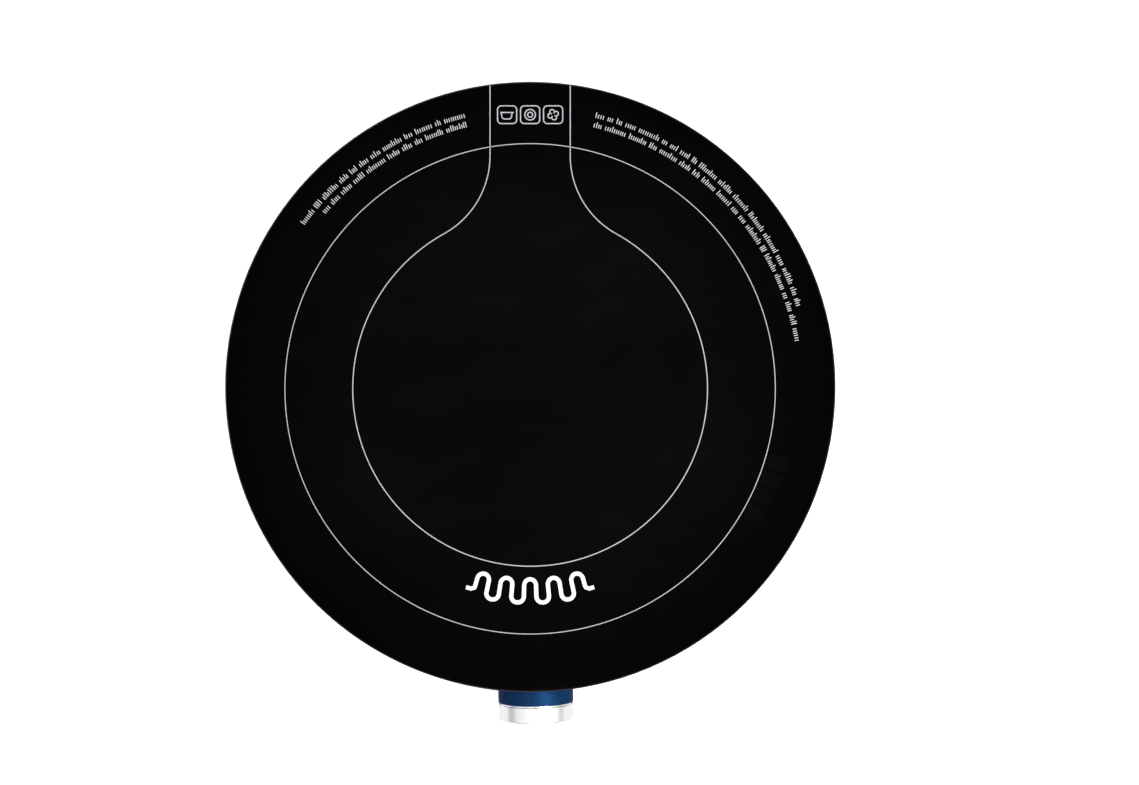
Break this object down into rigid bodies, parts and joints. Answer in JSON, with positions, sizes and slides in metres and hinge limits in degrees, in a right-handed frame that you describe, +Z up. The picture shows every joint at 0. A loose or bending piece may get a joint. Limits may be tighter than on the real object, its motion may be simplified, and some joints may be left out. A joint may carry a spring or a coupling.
{
  "type": "portable induction hot plate",
  "caption": "Round portable induction hot plate: a black glass disc on a blue drum housing with a push-and-turn front knob.",
  "frame": {"origin": "on the glass disc's axis, in the plane that the feet stand on", "axes": "+Z up; -Y points out of the front, where the knob is; +Y points out of the back, where the appliance inlet is; +X is to the right of someone facing the knob"},
  "size_m": [0.3, 0.318, 0.064],
  "materials": {
    "black_glass": "polished black ceramic glass",
    "print_ink": "fired ceramic ink",
    "silicone": "matte silicone",
    "blue_housing": "fine-grained navy blue plastic",
    "base_plastic": "fine-grained black plastic",
    "foot_rubber": "matte rubber",
    "chrome_trim": "polished",
    "zinc_steel": "zinc-plated",
    "spring_steel": "drawn wire",
    "white_nylon": "natural nylon",
    "black_nylon": "matte",
    "brass_metal": "plain",
    "nickel_contacts": "nickel-plated brass",
    "copper_litz": "stranded, lacquered copper",
    "ferrite": "matte sintered",
    "mica": "pressed mica",
    "circuit_board": "solder-resist lacquer",
    "chip_black": "moulded epoxy",
    "sink_aluminium": "extruded",
    "capacitor_box": "moulded box",
    "can_sleeve": "shrink sleeve",
    "fuse_glass": "clear tube with metal caps",
    "transformer_iron": "varnished core with tape",
    "fan_plastic": "moulded",
    "display_dark": "dark filter",
    "lead_brown": "insulation",
    "lead_blue": "insulation",
    "lead_green": "insulation",
    "lead_white": "insulation",
    "lead_grey": "insulation"
  },
  "bodies": {
    "hob": {"glass_top": "black_glass", "glass_seal": "silicone", "upper_housing": "blue_housing", "base_cover": "base_plastic", "foot_1": "foot_rubber", "foot_2": "foot_rubber", "foot_3": "foot_rubber", "foot_4": "foot_rubber", "base_screws": "zinc_steel", "knob_collar": "blue_housing", "encoder_body": "zinc_steel", "encoder_nut": "brass_metal", "collar_bracket": "black_nylon", "knob_screws": "zinc_steel", "control_board": "circuit_board", "mains_inlet": "black_nylon", "inlet_pins": "nickel_contacts", "inlet_screws": "zinc_steel", "induction_coil": "copper_litz", "coil_former": "black_nylon", "ferrite_bars": "ferrite", "mica_sheet": "mica", "coil_springs": "spring_steel", "coil_screws": "zinc_steel", "sensor_boot": "silicone", "surface_sensor": "nickel_contacts", "power_board": "circuit_board", "board_screws": "zinc_steel", "heat_sink": "sink_aluminium", "power_transistor": "chip_black", "bridge_rectifier": "chip_black", "resonant_capacitor": "capacitor_box", "filter_capacitor": "capacitor_box", "choke_core": "ferrite", "choke_winding": "copper_litz", "bulk_capacitors": "can_sleeve", "fuse_holder": "fuse_glass", "transformer": "transformer_iron", "mains_tabs": "nickel_contacts", "board_connectors": "white_nylon", "fan_frame": "fan_plastic", "fan_bearings": "brass_metal", "fan_stator": "transformer_iron", "display_board": "circuit_board", "display_module": "display_dark", "live_lead": "lead_brown", "neutral_lead": "lead_blue", "earth_lead": "lead_green", "coil_leads": "copper_litz", "sensor_lead": "lead_white", "fan_lead": "lead_grey", "display_lead": "lead_white", "ribbon_cable": "lead_grey"},
    "push_switch": {"switch_plunger": "white_nylon"},
    "knob": {"knob_cap": "chrome_trim", "knob_insert": "black_nylon", "encoder_shaft": "nickel_contacts"},
    "fan": {"fan_rotor": "fan_plastic", "fan_shaft": "nickel_contacts", "fan_magnet": "ferrite"}
  },
  "joints": [
    {"name": "knob_press", "type": "slide", "parent": "hob", "child": "push_switch", "axis": [0, 1, 0], "range_m": [0, 0.0005], "stiffness_N_per_m": 4000, "springref_m": -0.0005},
    {"name": "knob_turn", "type": "hinge", "parent": "push_switch", "child": "knob", "pos_m": [0, -0.16, 0.033], "axis": [0, -1, 0], "continuous": true},
    {"name": "fan_spin", "type": "hinge", "parent": "hob", "child": "fan", "pos_m": [-0.058, 0.042, 0.02], "axis": [0, 0, 1], "continuous": true}
  ]
}
